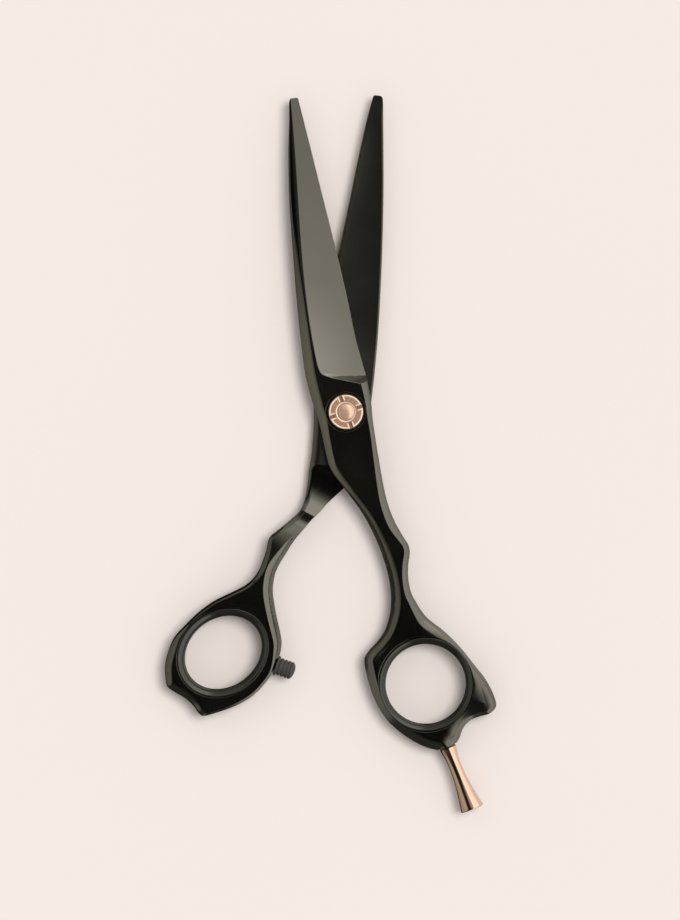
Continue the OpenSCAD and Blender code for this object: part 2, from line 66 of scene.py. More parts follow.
# The ride face is ground down to this Y.
GROUND_END = -12.5
# Rounds of refining a half's mesh.
REFINE = 4

# Outline rails of each half, drawn closed along +Y with the cutting side at +X, tip first, in mm.
F_RIGHT = [(0.6, 73), (0.78, 72.8), (0.9, 71.6), (1.2, 68.2), (2.6, 51.2), (4.0, 34.2), (4.65, 23.9),
           (5.0, 15.9), (5.5, 11.2), (5.9, 7.5), (6.1, 1.8), (5.8, -2.4), (5.7, -8), (5.7, -13.5),
           (5.8, -18.6), (6.1, -22.4), (6.9, -26.3), (8.3, -30.2), (9.2, -32.4), (9.25, -34.1),
           (8.5, -36.7), (8.0, -39.4), (8.05, -43.1), (8.65, -45.1), (10.5, -49.2), (14.3, -53.5),
           (17.3, -57.7), (19.6, -61.8), (21.8, -65.9), (23.0, -69.8), (23.1, -72.1), (21.4, -73.5),
           (19.1, -73.8), (17.1, -74.2), (15.8, -74.9), (14.7, -76.0), (13.7, -77.8), (12.8, -78.9)]
F_LEFT = [(-0.8, 73), (-1.12, 72.8), (-1.36, 72.3), (-1.55, 71.2), (-2.0, 68.3), (-3.3, 61.5),
          (-4.95, 50.1), (-6.05, 38.6), (-7.0, 27.1), (-7.65, 15.6), (-7.8, 9.8), (-7.55, 6.3),
          (-7.1, 2.75), (-6.5, -0.8), (-6.2, -5.5), (-6.0, -9.2), (-5.6, -12.1), (-3.1, -17.4),
          (-0.4, -22.7), (1.3, -27.2), (2.4, -31.3), (3.1, -34.9), (3.5, -38.4), (3.5, -41.9),
          (3.25, -44.2), (2.4, -47.5), (0.8, -50.8), (-1.2, -53.0), (-3.6, -54.9), (-4.95, -56.6),
          (-5.05, -60.3), (-4.8, -62.7), (-4.4, -65.1), (-3.75, -67.5), (-2.8, -69.8), (-1.6, -72.0),
          (0.2, -74.2), (2.2, -76.2), (4.4, -77.95), (6.5, -79.2), (8.3, -79.9)]
T_LEFT = [(-0.45, 73), (-0.85, 72.85), (-1.12, 72.45), (-1.28, 71.6), (-1.7, 68), (-2.75, 58.4),
          (-3.45, 51.6), (-4.4, 40.1), (-5.05, 29.6), (-5.55, 18.6), (-5.65, 10.3), (-5.65, 7.5),
          (-5.5, 0), (-5.35, -6), (-4.8, -10.5), (-3.6, -14), (-1.5, -17.15), (0.75, -19.7), (2.2, -21.4),
          (3.6, -23.4), (5.3, -25.4), (6.7, -27.4), (8.1, -29.4), (9.3, -31.4), (10.2, -33.3),
          (11.2, -35.3), (12.3, -38.2), (12.6, -40.9), (12.5, -42.8), (11.85, -45.6), (10.9, -48.8),
          (9.9, -51.8), (9.3, -54.4), (9.55, -57.5), (10.9, -61.6), (12.6, -64.4), (14.6, -66.8),
          (17.2, -68.8), (20.2, -70.5), (22.7, -71.6), (24.1, -72.2), (24.9, -72.5)]
T_RIGHT = [(0.8, 73), (1.02, 72.85), (1.2, 72.0), (1.95, 67.6), (2.95, 59.2), (4.1, 48), (5.3, 36.8),
           (5.8, 32.6), (6.35, 24), (6.85, 15), (7.3, 8), (7.65, 2), (7.3, -1.4), (7.0, -4.9), (6.9, -8.3),
           (6.9, -11.3), (7.1, -14.1), (7.1, -17.3), (7.4, -21), (8.1, -23.4), (10.7, -26.5),
           (12.8, -28.6), (14.4, -30.2), (14.75, -31.2), (14.9, -32.9), (15.6, -36.2), (16.6, -39),
           (18.5, -41.5), (22, -43.85), (25.6, -46.1), (29, -49.1), (31.7, -52.3), (33.9, -55.3),
           (34.9, -58.4), (35.4, -61.7), (35.1, -64.4), (34.4, -66.7), (32.4, -67.9), (30.4, -68.8),
           (28.1, -70.4), (26.7, -72), (25.8, -72.6)]

# Facets beside the left rail: Y, width of the outer one, width of both, fall of the outer, fall of the inner.
F_LEFT_FACETS = [(-80, 1.0, 1.7, 1.1, 0.6), (-76, 1.2, 2.3, 1.3, 0.6), (-60, 1.2, 2.2, 1.25, 0.65),
                 (-50, 1.2, 2.3, 1.25, 0.65), (-41, 1.15, 2.45, 1.25, 0.65), (-33, 1.1, 2.4, 1.2, 0.65),
                 (-26, 0.85, 1.8, 0.95, 0.65), (-20, 0.6, 1.6, 0.65, 0.65), (-13, 0.6, 1.6, 0.6, 0.65),
                 (-6, 0.65, 1.75, 0.65, 0.65), (0, 0.8, 2.1, 0.75, 0.75), (9, 0.95, 2.5, 0.85, 0.85),
                 (15, 0.9, 2.3, 0.8, 0.8), (25.5, 0.75, 1.9, 0.65, 0.65), (38.5, 0.5, 1.3, 0.42, 0.33),
                 (51, 0.4, 1.25, 0.32, 0.18), (61, 0.3, 0.95, 0.24, 0.12), (73, 0.04, 0.3, 0.04, 0.06)]
T_LEFT_FACETS = [(-73, 0.25, 0.5, 0.6, 0.3), (-62, 0.3, 0.6, 0.7, 0.35), (-56, 0.8, 1.6, 1.1, 0.6),
                 (-50, 1.0, 2.0, 1.25, 0.65), (-38, 1.0, 2.2, 1.25, 0.65), (-28, 0.8, 2.0, 0.95, 0.7),
                 (-20, 0.5, 1.5, 0.55, 0.75), (-10, 0.1, 1.3, 0.12, 0.85), (0, 0.08, 1.5, 0.1, 1.05),
                 (9, 0.08, 1.9, 0.1, 1.15), (25, 0.08, 1.5, 0.08, 0.95), (40, 0.07, 1.0, 0.06, 0.7),
                 (60, 0.05, 0.9, 0.05, 0.45), (73, 0.04, 0.3, 0.04, 0.16)]
# Facet beside the right rail: Y, width, fall, then the share of the width that is the steep outer part.
F_RIGHT_FACETS = [(-80, 1.8, 1.6, 0.3), (-76, 1.5, 1.6, 0.35), (-73.4, 1.9, 1.5, 0.35),
                  (-71.5, 2.3, 1.5, 0.35), (-68, 2.1, 1.6, 0.4), (-64, 1.3, 1.8, 0.45),
                  (-57, 1.2, 1.9, 0.42), (-53, 1.6, 1.9, 0.35), (-50, 1.9, 1.8, 0.25),
                  (-47, 1.6, 1.45, 0.2), (-38, 1.25, 1.1, 0.15), (-32, 1.2, 1.05, 0.12),
                  (-27, 1.7, 1.35, 0.1), (-23, 1.6, 1.2, 0.08), (-13, 1.15, 0.9, 0.08),
                  (-6, 0.95, 0.75, 0.08), (0, 1.2, 0.95, 0.08), (6, 1.5, 1.2, 0.08), (10, 1.6, 1.3, 0.08),
                  (73, 0.1, 0.05, 0.08)]
T_RIGHT_FACETS = [(-73, 1.8, 1.5, 0.2), (-67, 1.9, 1.7, 0.2), (-60, 1.95, 1.75, 0.15),
                  (-55, 1.6, 1.75, 0.2), (-50, 0.9, 1.7, 0.45), (-46, 0.7, 1.6, 0.55),
                  (-42, 0.8, 1.6, 0.5), (-38, 1.2, 1.75, 0.2), (-31, 1.2, 1.6, 0.12), (-24, 1.5, 1.3, 0.1),
                  (-13, 1.1, 0.9, 0.08), (-6, 0.95, 0.75, 0.08), (0, 1.2, 0.95, 0.08), (6, 1.5, 1.2, 0.08),
                  (10, 1.6, 1.3, 0.08), (73, 0.1, 0.05, 0.08)]
# Height of the outer face along Y.
OUTER = [(-90, 2.8), (-36, 2.8), (-31, 2.84), (-26, 3.1), (-22, 3.2), (9, 3.2), (73, 0.8)]
# The scoop is an arc between the ride face and a ridge; behind the ridge the grip swells out gently.
SCOOP = [(-30, -4.6), (-27, -2.6), (-25, -1.5), (-24, -1.02), (-23, -0.6), (-22, -0.24), (-21, 0.05),
         (-20, 0.27), (-19, 0.43), (-18, 0.52), (-17, 0.55), (-16, 0.52), (-15, 0.43), (-14, 0.27),
         (-13, 0.02), (-12, -0.3), (-10, -1.2)]
SWELL = [(-90, -2.8), (-37, -2.8), (-34, -2.6), (-31, -2.1), (-28, -1.5), (-26, -1.12), (-24, -1.02),
         (-20, -0.3), (-16, 1.0)]


# ---- Curves, tables and smooth joins ----

def spline(points, step):
    """Centripetal Catmull-Rom through the points, sampled about every step."""
    p = np.array(points, float)
    p = np.vstack([2 * p[0] - p[1], p, 2 * p[-1] - p[-2]])
    out = []
    for i in range(1, len(p) - 2):
        a, b, c, d = p[i - 1], p[i], p[i + 1], p[i + 2]
        t1 = np.linalg.norm(b - a) ** 0.5
        t2 = t1 + np.linalg.norm(c - b) ** 0.5
        t3 = t2 + np.linalg.norm(d - c) ** 0.5
        n = max(1, int(round(np.linalg.norm(c - b) / step)))
        for t in np.linspace(t1, t2, n, endpoint=False):
            ab = (t1 - t) / t1 * a + t / t1 * b
            bc = (t2 - t) / (t2 - t1) * b + (t - t1) / (t2 - t1) * c
            cd = (t3 - t) / (t3 - t2) * c + (t - t2) / (t3 - t2) * d
            abc = (t2 - t) / t2 * ab + t / t2 * bc
            bcd = (t3 - t) / (t3 - t1) * bc + (t - t1) / (t3 - t1) * cd
            out.append((t2 - t) / (t2 - t1) * abc + (t - t1) / (t2 - t1) * bcd)
    out.append(p[-2])
    return np.array(out)


def column(rows, k):
    """Smooth function of Y from column k of a table."""
    r = np.array(rows, float)
    slope = np.diff(r[:, k]) / np.diff(r[:, 0])
    m = np.zeros(len(r))
    both = slope[1:] * slope[:-1]
    m[1:-1] = np.where(both > 0, 2 * both / (slope[1:] + slope[:-1] + 1e-12), 0)
    m[0], m[-1] = slope[0], slope[-1]

    def at(y):
        y = np.clip(y, r[0, 0], r[-1, 0])
        i = np.clip(np.searchsorted(r[:, 0], y) - 1, 0, len(r) - 2)
        h = r[i + 1, 0] - r[i, 0]
        t = (y - r[i, 0]) / h
        return ((2 * t ** 3 - 3 * t ** 2 + 1) * r[i, k] + (t ** 3 - 2 * t ** 2 + t) * h * m[i]
                + (3 * t ** 2 - 2 * t ** 3) * r[i + 1, k] + (t ** 3 - t ** 2) * h * m[i + 1])
    return at


def smin(a, b, k):
    h = np.maximum(k - np.abs(a - b), 0) / k
    return np.minimum(a, b) - h * h * k / 4


def smax(a, b, k):
    return -smin(-a, -b, k)


def smooth(a, b, x):
    t = np.clip((x - a) / (b - a), 0, 1)
    return t * t * (3 - 2 * t)


def windows(p, size, reach):
    """Points sorted along Y in short runs, each with the Y window that matters to it."""
    order = np.argsort(p[:, 1])
    for s in range(0, len(p), size):
        pick = order[s:s + size]
        yield pick, p[pick[0], 1] - reach, p[pick[-1], 1] + reach


def to_rail(p, rail):
    """Distance to a rail, Y of the nearest place on it, the way off it and the way along it."""
    a, ab = rail[:-1], np.diff(rail, axis=0)
    inv = 1 / (ab ** 2).sum(1)
    out = np.zeros((len(p), 6))
    out[:, 0] = 20.0
    for pick, lo, hi in windows(p, 300, 13):
        use = np.nonzero((a[:, 1] > lo) & (a[:, 1] < hi))[0]
        if not len(use):
            continue
        qx = p[pick, 0, None] - a[use, 0]
        qy = p[pick, 1, None] - a[use, 1]
        t = np.clip((qx * ab[use, 0] + qy * ab[use, 1]) * inv[use], 0, 1)
        d2 = (qx - t * ab[use, 0]) ** 2 + (qy - t * ab[use, 1]) ** 2
        k = d2.argmin(1)
        i = np.arange(len(k))
        d = np.sqrt(d2[i, k])
        seg = use[k]
        tk = t[i, k]
        out[pick, 0] = d
        out[pick, 1] = a[seg, 1] + tk * ab[seg, 1]
        out[pick, 2] = (qx[i, k] - tk * ab[seg, 0]) / np.maximum(d, 1e-9)
        out[pick, 3] = (qy[i, k] - tk * ab[seg, 1]) / np.maximum(d, 1e-9)
        out[pick, 4] = ab[seg, 1] * np.sqrt(inv[seg])
        out[pick, 5] = ab[seg, 0] * np.sqrt(inv[seg])
    return out


def inside(p, loop):
    """Which points lie inside a closed loop."""
    a, b = loop, np.roll(loop, -1, axis=0)
    low, high = np.minimum(a[:, 1], b[:, 1]), np.maximum(a[:, 1], b[:, 1])
    result = np.zeros(len(p), bool)
    for pick, lo, hi in windows(p, 300, 0.01):
        use = (high > lo) & (low < hi)
        u, v = a[use], b[use]
        x, y = p[pick, 0, None], p[pick, 1, None]
        cross = (u[:, 1] > y) != (v[:, 1] > y)
        edge = u[:, 0] + (y - u[:, 1]) / (v[:, 1] - u[:, 1] + 1e-12) * (v[:, 0] - u[:, 0])
        result[pick] = (cross & (x < edge)).sum(1) % 2 == 1
    return result


def circle(c, r, n, b=None, turn=0.0):
    a = np.arange(n) * 2 * math.pi / n
    x, y = r * np.cos(a), (b or r) * np.sin(a)
    t = math.radians(turn)
    return np.c_[c[0] + x * math.cos(t) - y * math.sin(t), c[1] + x * math.sin(t) + y * math.cos(t)]


# ---- The two halves ----

class Half:
    """Blade and handle of one half as one closed skin between an outer and a ride height."""

    def __init__(self, left, right, left_facets, right_facets, seat, dished):
        self.left, self.right = spline(left, 0.2), spline(right, 0.2)
        self.loop = np.vstack([spline(left, 0.42), spline(right, 0.42)[::-1]])
        self.lf = [column(left_facets, k) for k in range(1, 5)]
        self.rf = [column(right_facets, k) for k in range(1, 4)]
        self.top, self.scoop, self.swell = column(OUTER, 1), column(SCOOP, 1), column(SWELL, 1)
        self.seat = seat
        self.dished = dished

    def seat_gap(self, p):
        """Distance outside the seat of the ring insert."""
        c, a, b, turn = self.seat
        t = math.radians(turn)
        x, y = p[:, 0] - c[0], p[:, 1] - c[1]
        u, v = x * math.cos(t) + y * math.sin(t), -x * math.sin(t) + y * math.cos(t)
        q = np.sqrt((u / a) ** 2 + (v / b) ** 2)
        return (q - 1) * np.sqrt(u * u + v * v) / np.maximum(q, 1e-9)

    def probe(self, p):
        """Place and rail distances of each point, all that the heights need."""
        return {"p": p, "l": to_rail(p, self.left), "r": to_rail(p, self.right)}

    def shift(self, q, dx, dy):
        """The same for points a hair away."""
        out = {"p": q["p"] + [dx, dy]}
        for k in "lr":
            m = q[k].copy()
            m[:, 0] += m[:, 2] * dx + m[:, 3] * dy
            m[:, 1] += m[:, 4] * (m[:, 5] * dx + m[:, 4] * dy)
            out[k] = m
        return out

    def near(self, p):
        return np.minimum(to_rail(p, self.left)[:, 0], to_rail(p, self.right)[:, 0])

    def facets(self, q, top, edge=0.05):
        """Heights under the facets of both rails, measured down from top."""
        dl, yl, dr, yr = q["l"][:, 0], q["l"][:, 1], q["r"][:, 0], q["r"][:, 1]
        w1, w2, f1, f2 = [c(yl) for c in self.lf]
        u = (dl - w1) / (w2 - w1)
        inner = top - f2 + f2 * u + 0.3 * f2 * np.clip(u, 0, 1) * np.clip(1 - u, 0, 1)
        outer = top - f2 - f1 + f1 * dl / w1
        left = smin(smin(outer, inner, edge), top, edge)
        w, f, share = [c(yr) for c in self.rf]
        steep = np.clip(share * 2.2, 0.05, 0.8)
        u = (dr - share * w) / (w * (1 - share))
        fall = f * (1 - steep)
        inner = top - fall * (1 - u) + 0.3 * fall * np.clip(u, 0, 1) * np.clip(1 - u, 0, 1)
        outer = top - f + f * steep * dr / (share * w)
        return left, smin(outer, inner, edge)

    def bevel_plane(self, q):
        """Main bevel with a slight belly, lifted a little towards its corner by the pivot."""
        x, y = q["p"][:, 0], q["p"][:, 1]
        dl, dr = q["l"][:, 0], q["r"][:, 0]
        plane = 3.0 - BEVEL_ACROSS * (x + 4.4) - BEVEL_ALONG * (y - 14)
        plane = plane + 0.09 * np.clip(4 * dl * dr / (dl + dr + 1e-6) ** 2, 0, 1)
        return plane + 0.2 * np.clip((12.0 - y) / 3.4, 0, 1.2) ** 2 * smooth(1.0, -3.5, x)

    def bevel_edge(self):
        """Rows of points on both sides of the crease between the outer face and the main bevel."""
        y = np.arange(10.4, 69, 0.3)
        x = np.full(len(y), -4.0)
        for _ in range(8):
            x = x + (self.bevel_plane(self.probe(np.c_[x, y])) - self.top(y)) / BEVEL_ACROSS
        return np.vstack([np.c_[x + e, y] for e in (-0.16, -0.05, 0.05, 0.16)])

    def outer_z(self, q):
        x, y = q["p"][:, 0], q["p"][:, 1]
        dl, dr, yr = q["l"][:, 0], q["r"][:, 0], q["r"][:, 1]
        top = self.top(y)
        left, right = self.facets(q, top, 0.05 + 0.3 * smooth(-44, -56, y))
        # main bevel, its run-out wall, and the rounded corner between them
        c, s = math.cos(math.radians(WALL_TURN)), math.sin(math.radians(WALL_TURN))
        wall = TOP - math.tan(math.radians(WALL_TILT)) * ((y - WALL_FOOT[1]) * c - (x - WALL_FOOT[0]) * s)
        bevel = smax(self.bevel_plane(q), wall, 0.08 + 0.95 * smooth(0.6, -2.5, x))
        soft = 0.05 + 0.4 * smooth(-44, -56, y) + 0.5 * smooth(-62, -69, y)
        z = smin(smin(left, bevel, 0.05), right + 6 * smooth(7.5, 9.0, yr), soft)
        z = np.where(y > 7, smin(z, 0.1 + 0.75 * dr + 6 * smooth(8.5, 6.5, y), 0.03), z)
        z = smin(z, top - CHAMFER + self.seat_gap(q["p"]), 0.04)
        if self.dished:
            z = smin(z, TOP - DISH + np.hypot(x, y), 0.03)
        rim = np.minimum(np.minimum(dl, dr), 0.09)
        return z - 0.05 * (1 - rim / 0.09) ** 2

    def ride_z(self, q):
        x, y = q["p"][:, 0], q["p"][:, 1]
        dl, dr = q["l"][:, 0], q["r"][:, 0]
        v = y - 0.4 * (x - 4.5 - 1.5 * smooth(-13, -23.5, y)) * smooth(-36, -28, y) * smooth(-8, -11, y)
        relief = np.where(v > -11.5, RIDE, smax(self.scoop(np.clip(v, -30, -10)), 0 * v + RIDE, 0.03))
        relief = np.where(v < -20.5, smax(self.scoop(np.clip(v, -30, -10)), self.swell(v), 0.04), relief)
        left, right = self.facets(q, 0 * x + GRIP)
        z = smax(relief, -smin(left, right, 0.05), 0.05 + 0.4 * smooth(-44, -56, y))
        z = smax(z, -(GRIP - CHAMFER + self.seat_gap(q["p"])), 0.04)
        u = np.clip(4 * (dl + 0.1) * np.maximum(dr - 0.45, 0) / (dl + dr) ** 2, 0, 1)
        hollow = 0.13 * u * smooth(11, 16, y) * smooth(70, 60, y)
        line = 0.14 * np.clip(1 - dr / 0.3, 0, 1) * smooth(9, 12, y)
        spine = 0.16 * np.clip(1 - dl / 0.35, 0, 1) * smooth(-11, -6, y) * smooth(72, 66, y)
        roll = 0.85 * np.clip(1 - dr / 2.1, 0, 1) ** 2 * smooth(9, 4, y) * smooth(-14.5, -12, y)
        roll = roll + 0.5 * np.clip(1 - dr / 1.2, 0, 1) ** 2 * smooth(-12, -15, y) * smooth(-29, -25.5, y)
        rim = np.minimum(np.minimum(dl, dr), 0.09)
        return z + hollow + line + spine + roll + 0.04 * (1 - rim / 0.09) ** 2 * smooth(-20, -24, y)

    def normal(self, f, q, up):
        h = 0.012
        gx = (f(self.shift(q, h, 0)) - f(self.shift(q, -h, 0))) / (2 * h)
        gy = (f(self.shift(q, 0, h)) - f(self.shift(q, 0, -h))) / (2 * h)
        n = np.c_[-gx, -gy, np.ones(len(gx))] * (1 if up else -1)
        return n / np.linalg.norm(n, axis=1)[:, None]

    def points(self, holes):
        """Places for the skin's vertices: outline, seat, bores, rows beside the creases, and a fill."""
        seat = circle(self.seat[0], self.seat[1], 180, self.seat[2], self.seat[3])
        loops = [self.loop, seat] + holes
        inner = []
        for rail, turn in ((self.left[::2], 1), (self.right[::2], -1)):
            t = np.gradient(rail, axis=0)
            t /= np.linalg.norm(t, axis=1)[:, None]
            n = np.c_[-t[:, 1], t[:, 0]] * turn
            if turn == 1:
                rows = [self.lf[0](rail[:, 1]), self.lf[1](rail[:, 1])]
            else:
                w = self.rf[0](rail[:, 1])
                rows = [w * self.rf[2](rail[:, 1]), w]
            for d in [0.04 + 0 * rows[0], 0.1 + 0 * rows[0]] + [r + e for r in rows for e in (-0.05, 0.05)]:
                d = np.maximum(d, 0.03)
                inner.append(np.c_[rail + n * d[:, None], d])
        inner = np.vstack(inner)
        p = inner[:, :2]
        p = p[(self.near(p) > inner[:, 2] * 0.97 - 0.003) & inside(p, self.loop)]
        crease = self.bevel_edge()
        crease = crease[inside(crease, self.loop)]
        lo, hi = self.loop.min(0), self.loop.max(0)
        gx, gy = np.meshgrid(np.arange(lo[0], hi[0], 0.75), np.arange(lo[1], hi[1], 0.75))
        g = np.c_[gx.ravel(), gy.ravel()]
        g[:, 0] += np.where(np.arange(len(gx)).repeat(gx.shape[1]) % 2, 0.37, 0)
        g = g[inside(g, self.loop)]
        g = g[self.near(g) > 0.3]
        c, a, b, turn = self.seat
        chamfer = [circle(c, a + e, 180, b + e, turn) for e in (CHAMFER, CHAMFER * 1.2)]
        return loops, np.vstack([p, g, crease[self.near(crease) > 0.12]] + chamfer)

    def clear(self, p, holes):
        """Points that keep off the outline and the bores."""
        ok = inside(p, self.loop) & (self.near(p) > 0.025)
        ok &= self.seat_gap(p) > 0.06
        for h in holes:
            r = np.hypot(h[0, 0], h[0, 1])
            ok &= np.abs(np.hypot(p[:, 0], p[:, 1]) - r) > 0.06
        return ok

    def triangulate(self, holes):
        """Points, triangles, and the index rows of the outline, the seat and the bores."""
        loops, fill = self.points(holes)
        fill = fill[self.clear(fill, holes)]
        edges, start = [], 0
        for loop in loops:
            n = len(loop)
            edges += [(start + i, start + (i + 1) % n) for i in range(n)]
            start += n
        for turn in range(REFINE + 1):
            flat = [Vector(p) for p in np.vstack(loops + [fill])]
            out = geometry.delaunay_2d_cdt(flat, edges, [], 0, 1e-5)
            pts = np.array([tuple(v) for v in out[0]])
            tris = np.array(out[2])
            mid = pts[tris].mean(1)
            tris = tris[inside(mid, self.loop) & (self.seat_gap(mid) > 0)]
            if turn < REFINE:
                extra = self.split_points(pts, tris)
                fill = np.vstack([fill, extra[self.clear(extra, holes)]])
        where = {old: new for new, olds in enumerate(out[3]) for old in olds}
        rows, start = [], 0
        for loop in loops:
            rows.append([where[start + i] for i in range(len(loop))])
            start += len(loop)
        return pts, tris, rows

    def split_points(self, pts, tris):
        """Middles of the edges across which the outer or the ride face turns by more than 7 degrees."""
        q = self.probe(pts)
        tn, bn = self.normal(self.outer_z, q, True), self.normal(self.ride_z, q, True)
        e = np.unique(np.sort(np.vstack([tris[:, :2], tris[:, 1:], tris[:, ::2]]), axis=1), axis=0)
        bend = np.minimum((tn[e[:, 0]] * tn[e[:, 1]]).sum(1), (bn[e[:, 0]] * bn[e[:, 1]]).sum(1))
        size = np.linalg.norm(pts[e[:, 0]] - pts[e[:, 1]], axis=1)
        e = e[(bend < math.cos(math.radians(7))) & (size > 0.13)]
        return (pts[e[:, 0]] + pts[e[:, 1]]) / 2

    def mesh(self, bores, steps):
        """Vertices, faces, corner normals and ground faces. steps is the bore from outside to ride side."""
        n_bore = 96
        pts, tris, (outline, seat, *rings) = self.triangulate([circle((0, 0), r, n_bore) for r in bores])
        # heights and normals are read a little inside the edges
        places = pts.copy()
        t = np.roll(self.loop, -1, axis=0) - np.roll(self.loop, 1, axis=0)
        t /= np.linalg.norm(t, axis=1)[:, None]
        out_n = np.c_[t[:, 1], -t[:, 0]]
        if inside(self.loop + out_n * 0.02, self.loop).mean() > 0.5:
            out_n = -out_n
        places[outline] -= out_n * 0.035
        away = pts[seat] - np.array(self.seat[0])
        away /= np.linalg.norm(away, axis=1)[:, None]
        places[seat] += away * 0.03
        for ring in rings:
            places[ring] *= 1 + 0.03 / np.linalg.norm(pts[ring], axis=1)[:, None]
        q = self.probe(places)
        zb = self.ride_z(q)
        zt = np.maximum(self.outer_z(q), zb + 0.05)
        nt, nb = self.normal(self.outer_z, q, True), self.normal(self.ride_z, q, False)
        n = len(pts)
        verts = [tuple(v) for v in np.c_[pts, zt]] + [tuple(v) for v in np.c_[pts, zb]]
        faces, corner, ground = [], [], []
        a, b, c = pts[tris[:, 0]], pts[tris[:, 1]], pts[tris[:, 2]]
        area = (b[:, 0] - a[:, 0]) * (c[:, 1] - a[:, 1]) - (b[:, 1] - a[:, 1]) * (c[:, 0] - a[:, 0])
        tris = np.where((area > 0)[:, None], tris, tris[:, ::-1])
        mid = pts[tris].mean(1)
        radius = np.hypot(mid[:, 0], mid[:, 1])
        for tri in tris[radius > bores[0]].tolist():
            faces.append(tri)
            corner += [nt[i] for i in tri]
        for tri, y in zip(tris[radius > bores[1], ::-1].tolist(), mid[radius > bores[1], 1]):
            if y > GROUND_END:
                ground.append(len(faces))
            faces.append([i + n for i in tri])
            corner += [nb[i] for i in tri]

        def strip(a, b, normals, flip):
            """Quads between two closed rows of vertices."""
            m = len(a)
            for i in range(m):
                j = (i + 1) % m
                q = [a[i], a[j], b[j], b[i]]
                nn = [normals[i], normals[j], normals[j], normals[i]]
                if flip:
                    q, nn = q[::-1], nn[::-1]
                faces.append([int(k) for k in q])
                corner.extend(nn)

        ahead = np.roll(self.loop, -1, axis=0)
        clockwise = (self.loop[:, 0] * ahead[:, 1] - ahead[:, 0] * self.loop[:, 1]).sum() < 0
        strip([i + n for i in outline], outline, np.c_[out_n, np.zeros(len(outline))], clockwise)
        strip([i + n for i in seat], seat, np.c_[-away, np.zeros(len(seat))], True)
        ang = np.arange(n_bore) * 2 * math.pi / n_bore
        rows = [rings[0]]
        for r, z in steps:
            start = len(verts)
            verts += [(r * math.cos(a), r * math.sin(a), z) for a in ang]
            rows.append(list(range(start, start + n_bore)))
        rows.append([i + n for i in rings[1]])
        for row, after in zip(rows[:-1], rows[1:]):
            ra, rb = np.hypot(*verts[row[0]][:2]), np.hypot(*verts[after[0]][:2])
            if abs(ra - rb) < 1e-3:
                nn = np.c_[-np.cos(ang), -np.sin(ang), 0 * ang]
            else:
                nn = np.c_[0 * ang, 0 * ang, 0 * ang + (1 if rb < ra else -1)]
            strip(row, after, nn, True)
        used = sorted({i for f in faces for i in f})
        remap = {old: new for new, old in enumerate(used)}
        return [verts[i] for i in used], [[remap[i] for i in f] for f in faces], corner, ground


def shift_by(x, y, z):
    return Matrix.Translation((x * MM, y * MM, z * MM))


def spin(degrees, axis):
    return Matrix.Rotation(math.radians(degrees), 4, axis)


PIVOT = shift_by(0, 0, LIFT)
FINGER = PIVOT @ spin(FINGER_LEAN, "Z")
THUMB = PIVOT @ spin(THUMB_LEAN, "Z") @ spin(180, "Y")
REST = FINGER @ shift_by(*REST_FOOT, 0) @ spin(REST_TURN, "Z") @ spin(90, "X")
BUMP = THUMB @ shift_by(*BUMP_FOOT, 0) @ spin(BUMP_TURN, "Z") @ spin(90, "Y")


def add_piece(name, verts, faces, matrix, mat, body, nodes, corner=None, sharp=None, others=()):
    """Mesh object from points in mm, placed, shaded and tied to its body; the CAD nodes it stands for are
    hidden.
    """
    mesh = bpy.data.meshes.new(name)
    mesh.from_pydata([matrix @ (Vector(v) * MM) for v in verts], [], faces)
    mesh.update()
    mesh.polygons.foreach_set("use_smooth", [True] * len(mesh.polygons))
    if corner is not None:
        turn = np.array(matrix.to_3x3())
        n = np.array(corner) @ turn.T
        mesh.normals_split_custom_set([tuple(q) for q in n])
    if sharp is not None:
        mesh.set_sharp_from_angle(angle=math.radians(sharp))
    obj = bpy.data.objects.new(name, mesh)
    bpy.context.scene.collection.objects.link(obj)
    mesh.materials.append(mat)
    index = np.zeros(len(mesh.polygons), int)
    for k, (other, where) in enumerate(others):
        mesh.materials.append(other)
        index[where] = k + 1
    mesh.polygons.foreach_set("material_index", index)
    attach(obj, body)
    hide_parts(*nodes)


def lathe(profile, n=128):
    """Closed solid of revolution about Z from (r, z) points; ends on the axis close with a fan."""
    verts, rows = [], []
    for r, z in profile:
        if r < 1e-6:
            rows.append([len(verts)])
            verts.append((0, 0, z))
            continue
        start = len(verts)
        for i in range(n):
            a = 2 * math.pi * i / n
            verts.append((r * math.cos(a), r * math.sin(a), z))
        rows.append(list(range(start, start + n)))
    faces = []
    pairs = list(zip(rows[:-1], rows[1:]))
    if len(rows[0]) > 1 and len(rows[-1]) > 1:
        pairs.append((rows[-1], rows[0]))
    for a, b in pairs:
        for i in range(n):
            j = (i + 1) % n
            if len(a) == 1 and len(b) == 1:
                continue
            if len(a) == 1:
                faces.append([a[0], b[j], b[i]])
            elif len(b) == 1:
                faces.append([a[i], a[j], b[0]])
            else:
                faces.append([a[i], a[j], b[j], b[i]])
    return verts, faces


def rounded(points, radius, steps=4):
    """Profile with its inner corners rounded by about radius."""
    out = [points[0]]
    for a, b, c in zip(points[:-2], points[1:-1], points[2:]):
        a, b, c = Vector(a), Vector(b), Vector(c)
        r = min(radius, (a - b).length * 0.45, (c - b).length * 0.45)
        p, q = b + (a - b).normalized() * r, b + (c - b).normalized() * r
        for i in range(steps + 1):
            t = i / steps
            out.append(tuple((1 - t) ** 2 * p + 2 * t * (1 - t) * b + t * t * q))
    out.append(points[-1])
    return out


# ---- Materials ----

